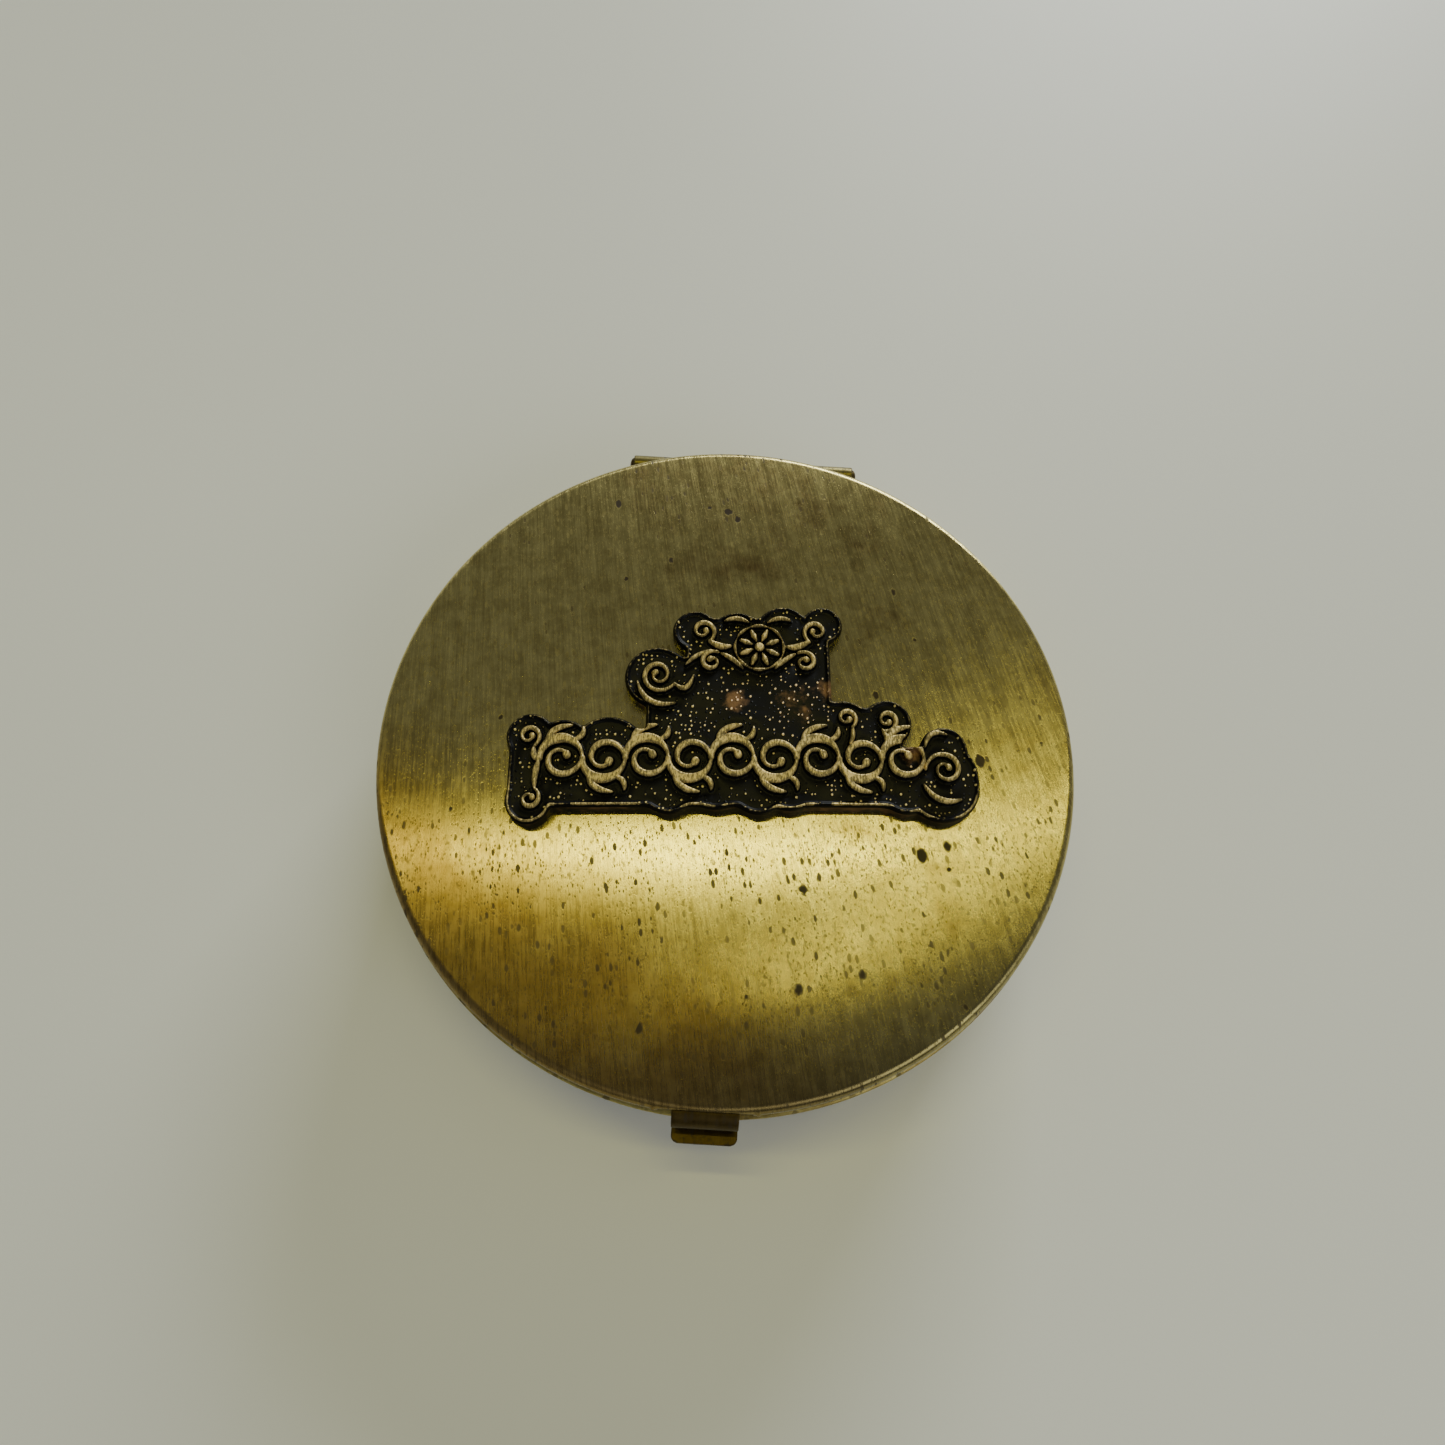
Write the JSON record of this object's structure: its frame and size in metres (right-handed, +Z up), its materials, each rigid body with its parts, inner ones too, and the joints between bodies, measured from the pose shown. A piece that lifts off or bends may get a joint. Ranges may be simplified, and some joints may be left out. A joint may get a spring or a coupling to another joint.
{
  "type": "hinged round rosary case",
  "caption": "Round pocket-sized brushed brass rosary case: shallow domed lid on a rear barrel hinge, front spring catch, and a cast blackened scrollwork plaque on the lid.",
  "frame": {"origin": "centre of the case's round underside, on the rest plane", "axes": "+Z up through the lid, +Y to the hinge, -Y to the catch, +X to the right seen from the catch"},
  "size_m": [0.0544, 0.0561, 0.0156],
  "materials": {
    "satin_brass": "satin brushed, tarnished",
    "collar_brass": "plain drawn",
    "base_felt": "short felt",
    "hinge_brass": "dark tarnished",
    "pin_brass": "peened, dark",
    "lid_brass": "satin brushed front to back, pitted",
    "lid_felt": "short felt",
    "spring_brass": "tarnished strip",
    "antiqued_casting": "blackened ground with rubbed bright relief",
    "nut_steel": "plain"
  },
  "bodies": {
    "base": {"base_pan": "satin_brass", "base_collar": "collar_brass", "base_lining": "base_felt", "base_knuckle": "hinge_brass", "hinge_pin": "pin_brass"},
    "lid": {"lid_shell": "lid_brass", "lid_knuckle_left": "hinge_brass", "lid_knuckle_right": "hinge_brass", "lid_lining": "lid_felt", "catch_strip": "spring_brass", "plaque": "antiqued_casting", "plaque_push_nuts": "nut_steel"}
  },
  "joints": [
    {"name": "lid_hinge", "type": "hinge", "parent": "base", "child": "lid", "pos_m": [0, 0.0264, 0.0109], "axis": [-1, 0, 0], "range_deg": [0, 104]}
  ]
}
